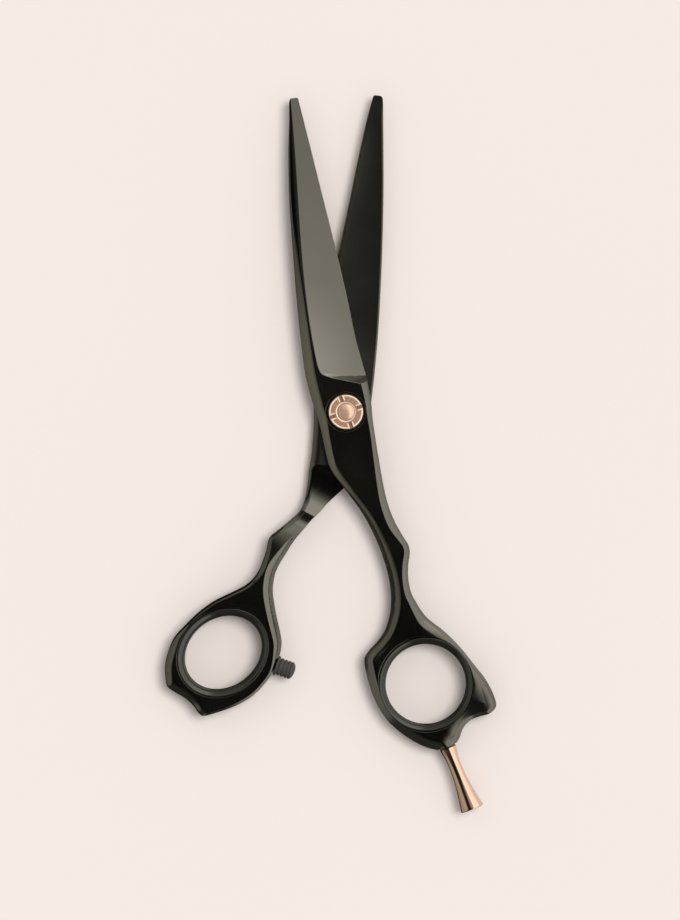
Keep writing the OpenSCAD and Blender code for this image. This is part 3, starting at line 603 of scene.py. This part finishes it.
class Tree:
    """Node tree of a material or of the world."""

    def __init__(self, tree):
        self.tree = tree
        self.tree.nodes.clear()
        self.texture = self.add("ShaderNodeTexCoord")

    def add(self, kind, **props):
        node = self.tree.nodes.new(kind)
        for k, v in props.items():
            setattr(node, k, v)
        return node

    def link(self, a, b):
        self.tree.links.new(a, b)

    def math(self, op, a, b=0.0):
        node = self.add("ShaderNodeMath", operation=op)
        for i, v in enumerate((a, b)):
            if isinstance(v, (int, float)):
                node.inputs[i].default_value = v
            else:
                self.link(v, node.inputs[i])
        return node.outputs[0]

    def span(self, value, a, b, c, d, kind="LINEAR"):
        """Value carried from a..b to c..d."""
        node = self.add("ShaderNodeMapRange", interpolation_type=kind)
        for i, v in enumerate((a, b, c, d)):
            node.inputs[i + 1].default_value = v
        self.link(value, node.inputs[0])
        return node.outputs[0]

    def mix(self, fac, a, b):
        node = self.add("ShaderNodeMix", data_type="RGBA")
        for socket, v in ((node.inputs[0], fac), (node.inputs[6], a), (node.inputs[7], b)):
            if isinstance(v, (int, float)):
                socket.default_value = v
            elif isinstance(v, tuple):
                socket.default_value = v + (1,)
            else:
                self.link(v, socket)
        return node.outputs[2]


class Nodes(Tree):
    """Principled material built from nodes."""

    def __init__(self, name):
        self.mat = bpy.data.materials.new(name)
        self.mat.use_nodes = True
        super().__init__(self.mat.node_tree)
        self.bsdf = self.add("ShaderNodeBsdfPrincipled")
        out = self.add("ShaderNodeOutputMaterial")
        self.link(self.bsdf.outputs[0], out.inputs[0])
        self.coord = self.texture.outputs["Object"]

    def stretch(self, scale, turn):
        node = self.add("ShaderNodeMapping")
        node.inputs["Scale"].default_value = scale
        node.inputs["Rotation"].default_value = (0, 0, math.radians(turn))
        self.link(self.coord, node.inputs["Vector"])
        return node.outputs[0]

    def noise(self, scale, detail, vector=None):
        node = self.add("ShaderNodeTexNoise")
        node.inputs["Scale"].default_value = scale
        node.inputs["Detail"].default_value = detail
        self.link(vector or self.coord, node.inputs["Vector"])
        return node.outputs["Fac"]

    def bump(self, height, distance):
        node = self.add("ShaderNodeBump")
        node.inputs["Distance"].default_value = distance
        node.inputs["Strength"].default_value = 1.0
        self.link(height, node.inputs["Height"])
        return node.outputs[0]

    def edges(self, radius, lo=0.02, hi=0.2):
        """1 on edges, 0 on open faces; callers lighten edges with it for wear and painted highlights."""
        bevel = self.add("ShaderNodeBevel", samples=6)
        bevel.inputs["Radius"].default_value = radius
        geo = self.add("ShaderNodeNewGeometry")
        dot = self.add("ShaderNodeVectorMath", operation="DOT_PRODUCT")
        self.link(bevel.outputs[0], dot.inputs[0])
        self.link(geo.outputs["Normal"], dot.inputs[1])
        worn = self.math("SUBTRACT", 1.0, dot.outputs["Value"])
        return self.span(worn, lo, hi, 0.0, 1.0)

    def set(self, **values):
        for k, v in values.items():
            socket = self.bsdf.inputs[k.replace("_", " ")]
            if hasattr(v, "is_linked"):
                self.link(v, socket)
            else:
                socket.default_value = v
        return self.mat


def coated_steel(name, grain_turn, dark, light, rough_a, rough_b, painted_side_sheen):
    """Black coated steel with a drawn grain, painted darker towards the blade tips and lighter along its
    edges; the last argument paints a lighter sheen on the -X side of the pivot and shank.
    """
    m = Nodes(name)
    cloud = m.noise(90, 4)
    grain = m.noise(1, 4, m.stretch((9000, 500, 9000), grain_turn))
    split = m.add("ShaderNodeSeparateXYZ")
    m.link(m.coord, split.inputs[0])
    # Painted shade: the coat is darkened towards the blade tips, from object Y 12 mm to 75 mm, standing in
    # for the dimmer reflection there.
    reach = m.span(split.outputs["Y"], 0.012, 0.075, 0.0, 0.55)
    base = m.mix(cloud, dark, light)
    base = m.mix(reach, base, tuple(0.42 * c for c in dark))
    base = m.mix(m.math("MULTIPLY", grain, 0.12), base, tuple(1.3 * c for c in light))
    # Painted sheen: the -X side of the pivot and shank is lightened towards a paler olive, standing in for
    # the reflections that fall there.
    lean = math.radians(grain_turn)
    own_x = m.math("ADD", m.math("MULTIPLY", split.outputs["X"], math.cos(lean)),
                   m.math("MULTIPLY", split.outputs["Y"], math.sin(lean)))
    side = m.math("MULTIPLY", m.span(own_x, -0.005, 0.004, painted_side_sheen, 0.0),
                  m.span(split.outputs["Y"], 0.03, 0.012, 0.0, 1.0))
    base = m.mix(side, base, tuple(1.5 * c for c in light))
    # Edge wear and painted highlight: edges are lightened towards a pale olive grey, which also paints the
    # thin bright lines along the creases.
    wear_and_painted_highlight = m.math("MULTIPLY", m.edges(0.00016, 0.01, 0.16), m.span(m.noise(700, 3), 0.3, 0.7, 0.45, 1.0))
    base = m.mix(m.math("MULTIPLY", wear_and_painted_highlight, 0.7), base, (0.32, 0.3, 0.25))
    rough = m.math("ADD", m.span(cloud, 0.3, 0.7, rough_a, rough_b), m.math("MULTIPLY", grain, 0.05))
    bump = m.bump(m.math("ADD", grain, m.math("MULTIPLY", cloud, 2.0)), 0.0000004)
    return m.set(Base_Color=base, Metallic=1.0, Roughness=rough, Normal=bump)


def plated(name, base_a, base_b, rough_a, rough_b, metal=1.0, turned=False):
    """Rose plating with a painted highlight along its edges; turned faces carry fine rings round the pivot.
    """
    m = Nodes(name)
    base = m.mix(m.noise(350, 4), base_a, base_b)
    # Painted highlight: edges are lightened towards a pale rose.
    painted_edge_highlight = m.math("MULTIPLY", m.edges(0.00012, 0.01, 0.12), 0.15 if turned else 0.75)
    base = m.mix(painted_edge_highlight, base, (1.0, 0.83, 0.66))
    rough = m.span(m.noise(900, 3), 0.3, 0.7, rough_a, rough_b)
    height = m.noise(2500, 2)
    if turned:
        wave = m.add("ShaderNodeTexWave", wave_type="RINGS", rings_direction="Z")
        wave.inputs["Scale"].default_value = 1100
        wave.inputs["Distortion"].default_value = 0.3
        m.link(m.coord, wave.inputs["Vector"])
        height = m.math("ADD", height, m.math("MULTIPLY", wave.outputs["Fac"], 2.0))
    return m.set(Base_Color=base, Metallic=metal, Roughness=rough, Normal=m.bump(height, 0.0000015))


def plain_metal(name, base_a, base_b, rough_a, rough_b):
    """Bare metal with fine grinding marks and bright edges."""
    m = Nodes(name)
    cloud = m.noise(500, 4)
    base = m.mix(cloud, base_a, base_b)
    base = m.mix(m.math("MULTIPLY", m.edges(0.00008), 0.4), base, (0.85, 0.85, 0.85))
    rough = m.span(m.noise(1500, 3), 0.3, 0.7, rough_a, rough_b)
    return m.set(Base_Color=base, Metallic=1.0, Roughness=rough, Normal=m.bump(m.noise(6000, 2), 0.000002))


def soft(name, base_a, base_b, rough_a, rough_b, grain, depth, ior=1.5, tint=(1, 1, 1)):
    """Rubber or plastic, a little paler on its worn edges."""
    m = Nodes(name)
    base = m.mix(m.noise(300, 4), base_a, base_b)
    base = m.mix(m.math("MULTIPLY", m.edges(0.00012), 0.35), base, tuple(2.2 * c + 0.02 for c in base_b))
    rough = m.span(m.noise(800, 3), 0.3, 0.7, rough_a, rough_b)
    return m.set(Base_Color=base, Roughness=rough, IOR=ior, Specular_Tint=tint + (1,),
                 Normal=m.bump(m.noise(grain, 4), depth))


DARK, LIGHT = (0.145, 0.138, 0.117), (0.185, 0.175, 0.149)
RIDE_DARK, RIDE_LIGHT = (0.1, 0.094, 0.08), (0.126, 0.119, 0.102)
# The last argument sets how strong the painted sheen on the -X side is.
STEEL_F = coated_steel("coated_finger", FINGER_LEAN, DARK, LIGHT, 0.12, 0.17, 0.75)
STEEL_T = coated_steel("coated_thumb", THUMB_LEAN, DARK, LIGHT, 0.12, 0.17, 0.15)
RIDE_F = coated_steel("ride_face_finger", FINGER_LEAN, RIDE_DARK, RIDE_LIGHT, 0.25, 0.31, 0.75)
RIDE_T = coated_steel("ride_face_thumb", THUMB_LEAN, RIDE_DARK, RIDE_LIGHT, 0.25, 0.31, 0.75)
SILICONE = soft("silicone", (0.008, 0.008, 0.006), (0.016, 0.015, 0.013), 0.14, 0.22, 1800, 0.000002,
                1.75, (1.0, 0.97, 0.86))
RUBBER = soft("rubber", (0.035, 0.031, 0.029), (0.06, 0.054, 0.05), 0.45, 0.62, 3500, 0.00002)
ROSE = plated("rose_plate", (0.88, 0.6, 0.43), (0.97, 0.7, 0.53), 0.1, 0.17)
ROSE_TURNED = plated("rose_turned", (0.5, 0.29, 0.17), (0.58, 0.34, 0.21), 0.24, 0.32, 0.4, True)
# Painted highlight: a paler, mostly diffuse copy of the rose plating for the dial's rim, cheeks and inner
# ring, so they read bright from every side.
ROSE_PAINTED_HIGHLIGHT = plated("rose_painted_highlight", (1.0, 0.8, 0.63), (1.0, 0.88, 0.73), 0.14, 0.2, 0.35)
# Painted shade: a darker, more metallic copy of the turned rose for the slot floors, standing in for the
# shade between the cheeks.
ROSE_SLOT_SHADE = plated("rose_slot_painted_shade", (0.62, 0.3, 0.17), (0.72, 0.37, 0.22), 0.25, 0.35, 0.7)
ROSE_DOME = plated("rose_dome", (0.9, 0.57, 0.39), (0.97, 0.65, 0.46), 0.2, 0.27, 0.62)
STEEL_RAW = plain_metal("ground_steel", (0.5, 0.5, 0.5), (0.62, 0.62, 0.63), 0.25, 0.4)
BRONZE = plain_metal("bronze", (0.5, 0.34, 0.16), (0.6, 0.42, 0.22), 0.3, 0.45)
ACETAL = soft("acetal", (0.02, 0.02, 0.019), (0.035, 0.034, 0.032), 0.4, 0.55, 1500, 0.000004)

# ---- Halves ----

finger = Half(F_LEFT, F_RIGHT, F_LEFT_FACETS, F_RIGHT_FACETS, (FINGER_C, FINGER_SEAT, FINGER_SEAT, 0.0), True)
stepped = [(DIAL_BORE, DIAL_FLOOR), (BUSH_BORE, DIAL_FLOOR), (BUSH_BORE, RACE_FLOOR), (RACE_BORE, RACE_FLOOR)]
verts, faces, corner, ground = finger.mesh((DIAL_BORE, RACE_BORE), stepped)
add_piece("finger_half", verts, faces, FINGER, STEEL_F, "finger_half",
          ("finger_blade", "finger_handle"), corner, others=((RIDE_F, ground),))

thumb = Half(T_LEFT, T_RIGHT, T_LEFT_FACETS, T_RIGHT_FACETS,
             (THUMB_C, THUMB_A + THUMB_WALL, THUMB_B + THUMB_WALL, THUMB_TURN), False)
stepped = [(STUD_BORE, RACE_FLOOR), (RACE_BORE, RACE_FLOOR)]
verts, faces, corner, ground = thumb.mesh((STUD_BORE, RACE_BORE), stepped)
add_piece("thumb_half", verts, faces, THUMB, STEEL_T, "thumb_half",
          ("thumb_blade", "thumb_handle"), corner, others=((RIDE_T, ground),))

# ---- Ring inserts ----

lip = [(0.2, 2.33), (0.58, 2.36), (0.7, 2.45), (0.88, 2.63), (1.06, 2.78), (1.24, 2.89), (1.38, 2.93),
       (1.5, 2.8)]
bead = [(1.5, -0.5), (1.68, -0.46), (1.68, 0.46), (1.5, 0.5)]
section = rounded([(0.0, -1.6), (0.05, -2.15)] + [(d, -z) for d, z in lip] + bead + lip[::-1]
                  + [(0.05, 2.15), (0.0, 1.6)], 0.25)


def ring_insert(name, centre, a, b, turn, wall, matrix, body, node):
    """Liner of a ring: its section swept round an ellipse, its wall made to fit the seat."""
    n, m = 180, len(section)
    verts, faces = [], []
    rings = []
    for d, z in section:
        out = d * wall / 1.5 if d <= 1.5 else wall + d - 1.5
        rings.append([(x, y, z) for x, y in circle(centre, a + out, n, b + out, turn)])
    for i in range(n):
        verts += [ring[i] for ring in rings]
        j = (i + 1) % n
        for k in range(m):
            after = (k + 1) % m
            faces.append([i * m + k, j * m + k, j * m + after, i * m + after])
    add_piece(name, verts, faces, matrix, SILICONE, body, (node,), sharp=50)


ring_insert("finger_liner", FINGER_C, FINGER_HOLE, FINGER_HOLE, 0.0, FINGER_SEAT - FINGER_HOLE - 0.02,
            FINGER, "finger_half", "finger_insert")
ring_insert("thumb_liner", THUMB_C, THUMB_A, THUMB_B, THUMB_TURN, THUMB_WALL - 0.02,
            THUMB, "thumb_half", "thumb_insert")

# ---- Finger rest, bumper, pivot stud ----


def rest_profile():
    """Waisted body that flares to a rounded end, on a spigot drawn plain without its thread."""
    steps, waist, length = 40, 0.32, 14.8
    out = [(0, -3.0), (0.85, -3.0), (1.0, -2.85), (1.0, 0.3), (1.0, 0.36), (1.82, 0.36), (1.95, 0.5)]
    for i in range(1, steps + 1):
        t = i / steps
        if t < waist:
            r = 1.45 + 0.53 * (1 - t / waist) ** 2
        else:
            r = 1.45 + 1.23 * ((t - waist) / (1 - waist)) ** 1.75
        out.append((r, 0.4 + t * length))
    end = 0.4 + length
    rim = [(2.69, 0.08), (2.66, 0.18), (2.58, 0.26), (2.4, 0.31), (2.1, 0.33), (0, 0.36)]
    return out + [(r, end + z) for r, z in rim]


verts, faces = lathe(rest_profile(), 160)
add_piece("finger_rest_turned", verts, faces, REST, ROSE, "finger_half",
          ("finger_rest",), sharp=40)

bumper = [(0, 0.02), (2.1, 0.02), (2.28, 0.12), (2.34, 0.28), (2.26, 0.46), (2.06, 0.6), (1.9, 0.7)]
rib = [(0.0, 0.0), (0.02, 0.06), (0.14, 0.14), (0.21, 0.26), (0.23, 0.4), (0.21, 0.54), (0.14, 0.66),
       (0.02, 0.74), (0.0, 0.82)]
for i in range(3):
    bumper += [(1.82 + dr, 0.74 + i * 0.9 + dz) for dr, dz in rib]
for i in range(12):
    a = math.radians(7.5 * i)
    bumper.append((2.03 * math.cos(a), 3.56 + 1.04 * math.sin(a)))
bumper.append((0, 4.6))
verts, faces = lathe(bumper, 128)
add_piece("bumper_ribbed", verts, faces, BUMP, RUBBER, "thumb_half",
          ("bumper", "bumper_stud"), sharp=50)

# rear head with two turned grooves, journal, spindle, and the domed end that shows in the dial
head = [(0, -4.2), (1.1, -4.2), (1.12, -4.1), (1.2, -4.1), (1.22, -4.2), (3.0, -4.2), (3.02, -4.13),
        (3.14, -4.13), (3.16, -4.2), (4.22, -4.2), (4.36, -4.17), (4.46, -4.07), (4.5, -3.93), (4.5, -3.3),
        (4.46, -3.22), (4.4, -3.2)]
shaft = [(2.1, -3.2), (2.1, -1.01), (2.5, -1.01), (2.5, 1.85), (1.92, 1.87), (1.92, 4.05), (1.72, 4.1)]
dome = []
for i in range(13):
    a = math.radians(7 * i)
    dome.append((1.71 * math.cos(a), 4.17 + 0.46 * math.sin(a)))
stud = head + shaft + dome + [(0, 4.63)]
verts, faces = lathe(stud, 128)
add_piece("stud_turned", verts, faces, PIVOT, ROSE_DOME, "thumb_half", ("pivot_stud",), sharp=35)


def dial():
    """Tension dial: turned face with a raised rim and four notches between raised cheeks."""
    n, top, hole, edge, rim_at, notch_turn = 540, 1.7, 2.02, 3.95, 3.69, 20
    spans = [(hole, 2.5, 8), (2.56, 3.36, 14), (3.4, edge, 19)]
    radii = np.concatenate([np.linspace(*span) for span in spans])
    a = np.arange(n) * 2 * math.pi / n
    r, t = np.meshgrid(radii, a)
    z = top - 0.2 + 0 * r
    z = np.where(r < 2.45, top - 0.42 + 0.22 * smooth(2.1, 2.45, r), z)
    rim = np.where(r < rim_at, 0.2 * np.sqrt(np.clip(1 - ((r - rim_at) / 0.22) ** 2, 0, 1)),
                   0.2 - 0.46 * (1 - np.sqrt(np.clip(1 - ((r - rim_at) / 0.265) ** 2, 0, 1))))
    z = z + rim - 0.07 * np.exp(-((r - 3.44) / 0.03) ** 2)
    # Painted highlight: the polished rim, the cheeks and the inner ring take the paler rose copy.
    polished_and_painted_highlight = (r > 3.48) & (r < 3.86) | (r < 2.3)
    slots = np.zeros(r.shape, bool)
    for k in range(4):
        c = math.radians(notch_turn + 90 * k)
        along = r * np.cos(t - c)
        across = np.abs(r * np.sin(t - c))
        front = np.cos(t - c) > 0
        cheek = smooth(2.5, 2.62, along) * np.sqrt(np.clip(1 - ((across - 0.58) / 0.2) ** 2, 0, 1)) * front
        z = z + (top + 0.02 - z) * cheek * (r < 3.62)
        polished_and_painted_highlight |= cheek > 0.3
        cut = smooth(2.42, 2.5, along) * smooth(0.4, 0.35, across) * front
        z = z + (top - 0.62 - z) * cut
        # Slot floors get the painted shade material.
        slots |= cut > 0.3
    verts, faces = [], []
    under = [(edge, 0.2), (3.78, 0.0), (hole, 0.0)]
    for i in range(n):
        x, y = math.cos(a[i]), math.sin(a[i])
        verts += [(d * x, d * y, h) for d, h in list(zip(radii, z[i])) + under]
    last, m = len(radii) - 1, len(radii) + len(under)
    bright, painted_shade_faces = [], []
    for i in range(n):
        j = (i + 1) % n
        for k in range(m):
            if k < last and slots[i, k] and slots[j, k + 1]:
                painted_shade_faces.append(len(faces))
            elif k < last and polished_and_painted_highlight[i, k] and polished_and_painted_highlight[j, k + 1]:
                bright.append(len(faces))
            after = (k + 1) % m
            faces.append([i * m + k, i * m + after, j * m + after, j * m + k])
    return verts, faces, bright, painted_shade_faces


verts, faces, bright, painted_shade_faces = dial()
# The bright faces carry the painted highlight and the slot floors the painted shade.
add_piece("dial_cut", verts, faces, PIVOT @ shift_by(0, 0, DIAL_LIFT), ROSE_TURNED, "dial",
          ("tension_dial",), sharp=32, others=((ROSE_PAINTED_HIGHLIGHT, bright), (ROSE_SLOT_SHADE, painted_shade_faces)))

# CAD nodes that stay as they are
for name, mat in (("rest_washer", SILICONE), ("pivot_bush", BRONZE), ("front_race", STEEL_RAW),
                  ("rear_race", STEEL_RAW), ("bearing_cage", BRONZE), ("bearing_balls", STEEL_RAW),
                  ("slide_washer", ACETAL), ("wave_washer", STEEL_RAW), ("click_washer", STEEL_RAW)):
    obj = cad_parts[name]
    obj.data.materials.clear()
    obj.data.materials.append(mat)

# ---- Floor, light and camera ----

floor_mesh = bpy.data.meshes.new("floor")
floor_mesh.from_pydata([(-3, -3, 0), (3, -3, 0), (3, 3, 0), (-3, 3, 0)], [], [(0, 1, 2, 3)])
floor = bpy.data.objects.new("floor", floor_mesh)
bpy.context.scene.collection.objects.link(floor)
fm = Nodes("floor_card")
tone = fm.mix(fm.noise(8, 2), (0.80, 0.735, 0.70), (0.81, 0.742, 0.707))
floor_mesh.materials.append(fm.set(Base_Color=tone, Roughness=0.9, Specular_IOR_Level=0.1,
                                   Normal=fm.bump(fm.noise(1500, 3), 0.00001)))

world = bpy.data.worlds.new("studio")
bpy.context.scene.world = world
world.use_nodes = True
sky = Tree(world.node_tree)


def facing(direction):
    """How far a ray points along a direction."""
    node = sky.add("ShaderNodeVectorMath", operation="DOT_PRODUCT")
    sky.link(sky.texture.outputs["Generated"], node.inputs[0])
    node.inputs[1].default_value = Vector(direction)
    return node.outputs["Value"]


def lobe(direction, a, b, hi, fall=None):
    """Soft panel towards a direction, weaker near and under the horizon if fall is given."""
    value = sky.span(facing(direction), a, b, 0.0, hi, "SMOOTHSTEP")
    if fall is not None:
        height = sky.span(facing((0, 0, 1)), -0.15, 0.45, 0.0, 1 - fall, "SMOOTHSTEP")
        value = sky.math("MULTIPLY", value, sky.math("ADD", height, fall))
    return value


def background(colour, strength):
    """Background shader; colour and strength are values or sockets."""
    node = sky.add("ShaderNodeBackground")
    for socket, v in zip(node.inputs, (colour, strength)):
        if hasattr(v, "is_linked"):
            sky.link(v, socket)
        else:
            socket.default_value = v
    return node.outputs[0]


def choose(ray, no, yes):
    """One shader for a kind of ray and another for the rest."""
    node = sky.add("ShaderNodeMixShader")
    for i, v in enumerate((path.outputs[ray], no, yes)):
        sky.link(v, node.inputs[i])
    return node.outputs[0]


# glossy rays see panels on the right, on the left, past the tips, overhead and past the rings
panels = [lobe((1.0, 0.15, 0.0), 0.16, 0.32, 1.1, 0.65),
          lobe((-1.0, 0.0, 0.0), 0.62, 0.85, 0.42, 0.75),
          lobe((0.0, 1.0, 0.0), 0.5, 0.8, 0.5, 0.3),
          lobe((0.0, 0.5, 0.866), 0.9, 0.98, 0.35),
          lobe((0.0, -1.0, 0.0), 0.3, 1.0, 0.1)]
total = 0.007
for panel in panels:
    total = sky.math("ADD", panel, total)
to_right = sky.span(facing((1, 0.3, 0)), -0.3, 0.6, 0.0, 1.0, "SMOOTHSTEP")
studio = background(sky.mix(to_right, (1.0, 0.97, 0.85), (1.0, 0.985, 0.96)), total)
path = sky.add("ShaderNodeLightPath")
light = choose("Is Glossy Ray", background((1.0, 0.985, 0.975, 1), 0.56), studio)
surface = choose("Is Camera Ray", light, background((0.9, 0.83, 0.79, 1), 1.0))
sky.link(surface, sky.add("ShaderNodeOutputWorld").inputs[0])

lamp = bpy.data.lights.new("key", "SUN")
lamp.angle = math.radians(27)
lamp.energy = 1.95
lamp.color = (1.0, 0.985, 0.975)
lamp_obj = bpy.data.objects.new("key", lamp)
lamp_obj.rotation_euler = (-Vector((0.36, 0.17, 1.15))).to_track_quat("-Z", "Y").to_euler()
lamp_obj.visible_glossy = False
bpy.context.scene.collection.objects.link(lamp_obj)
floor.visible_glossy = False

# the camera looks straight down; the picture covers this height, in metres, at the halves' plane
picture = 0.2111
cam = bpy.data.cameras.new("camera")
cam.lens = 150
cam.sensor_fit = "VERTICAL"
cam.sensor_height = 24
cam_obj = bpy.data.objects.new("camera", cam)
cam_obj.location = (-0.00135, -0.0110, picture * cam.lens / cam.sensor_height + 0.004)
cam_obj.rotation_euler = (0, 0, 0)
cam.clip_start, cam.clip_end = 0.01, 20
bpy.context.scene.collection.objects.link(cam_obj)
bpy.context.scene.camera = cam_obj
bpy.context.scene.view_settings.view_transform = "Standard"
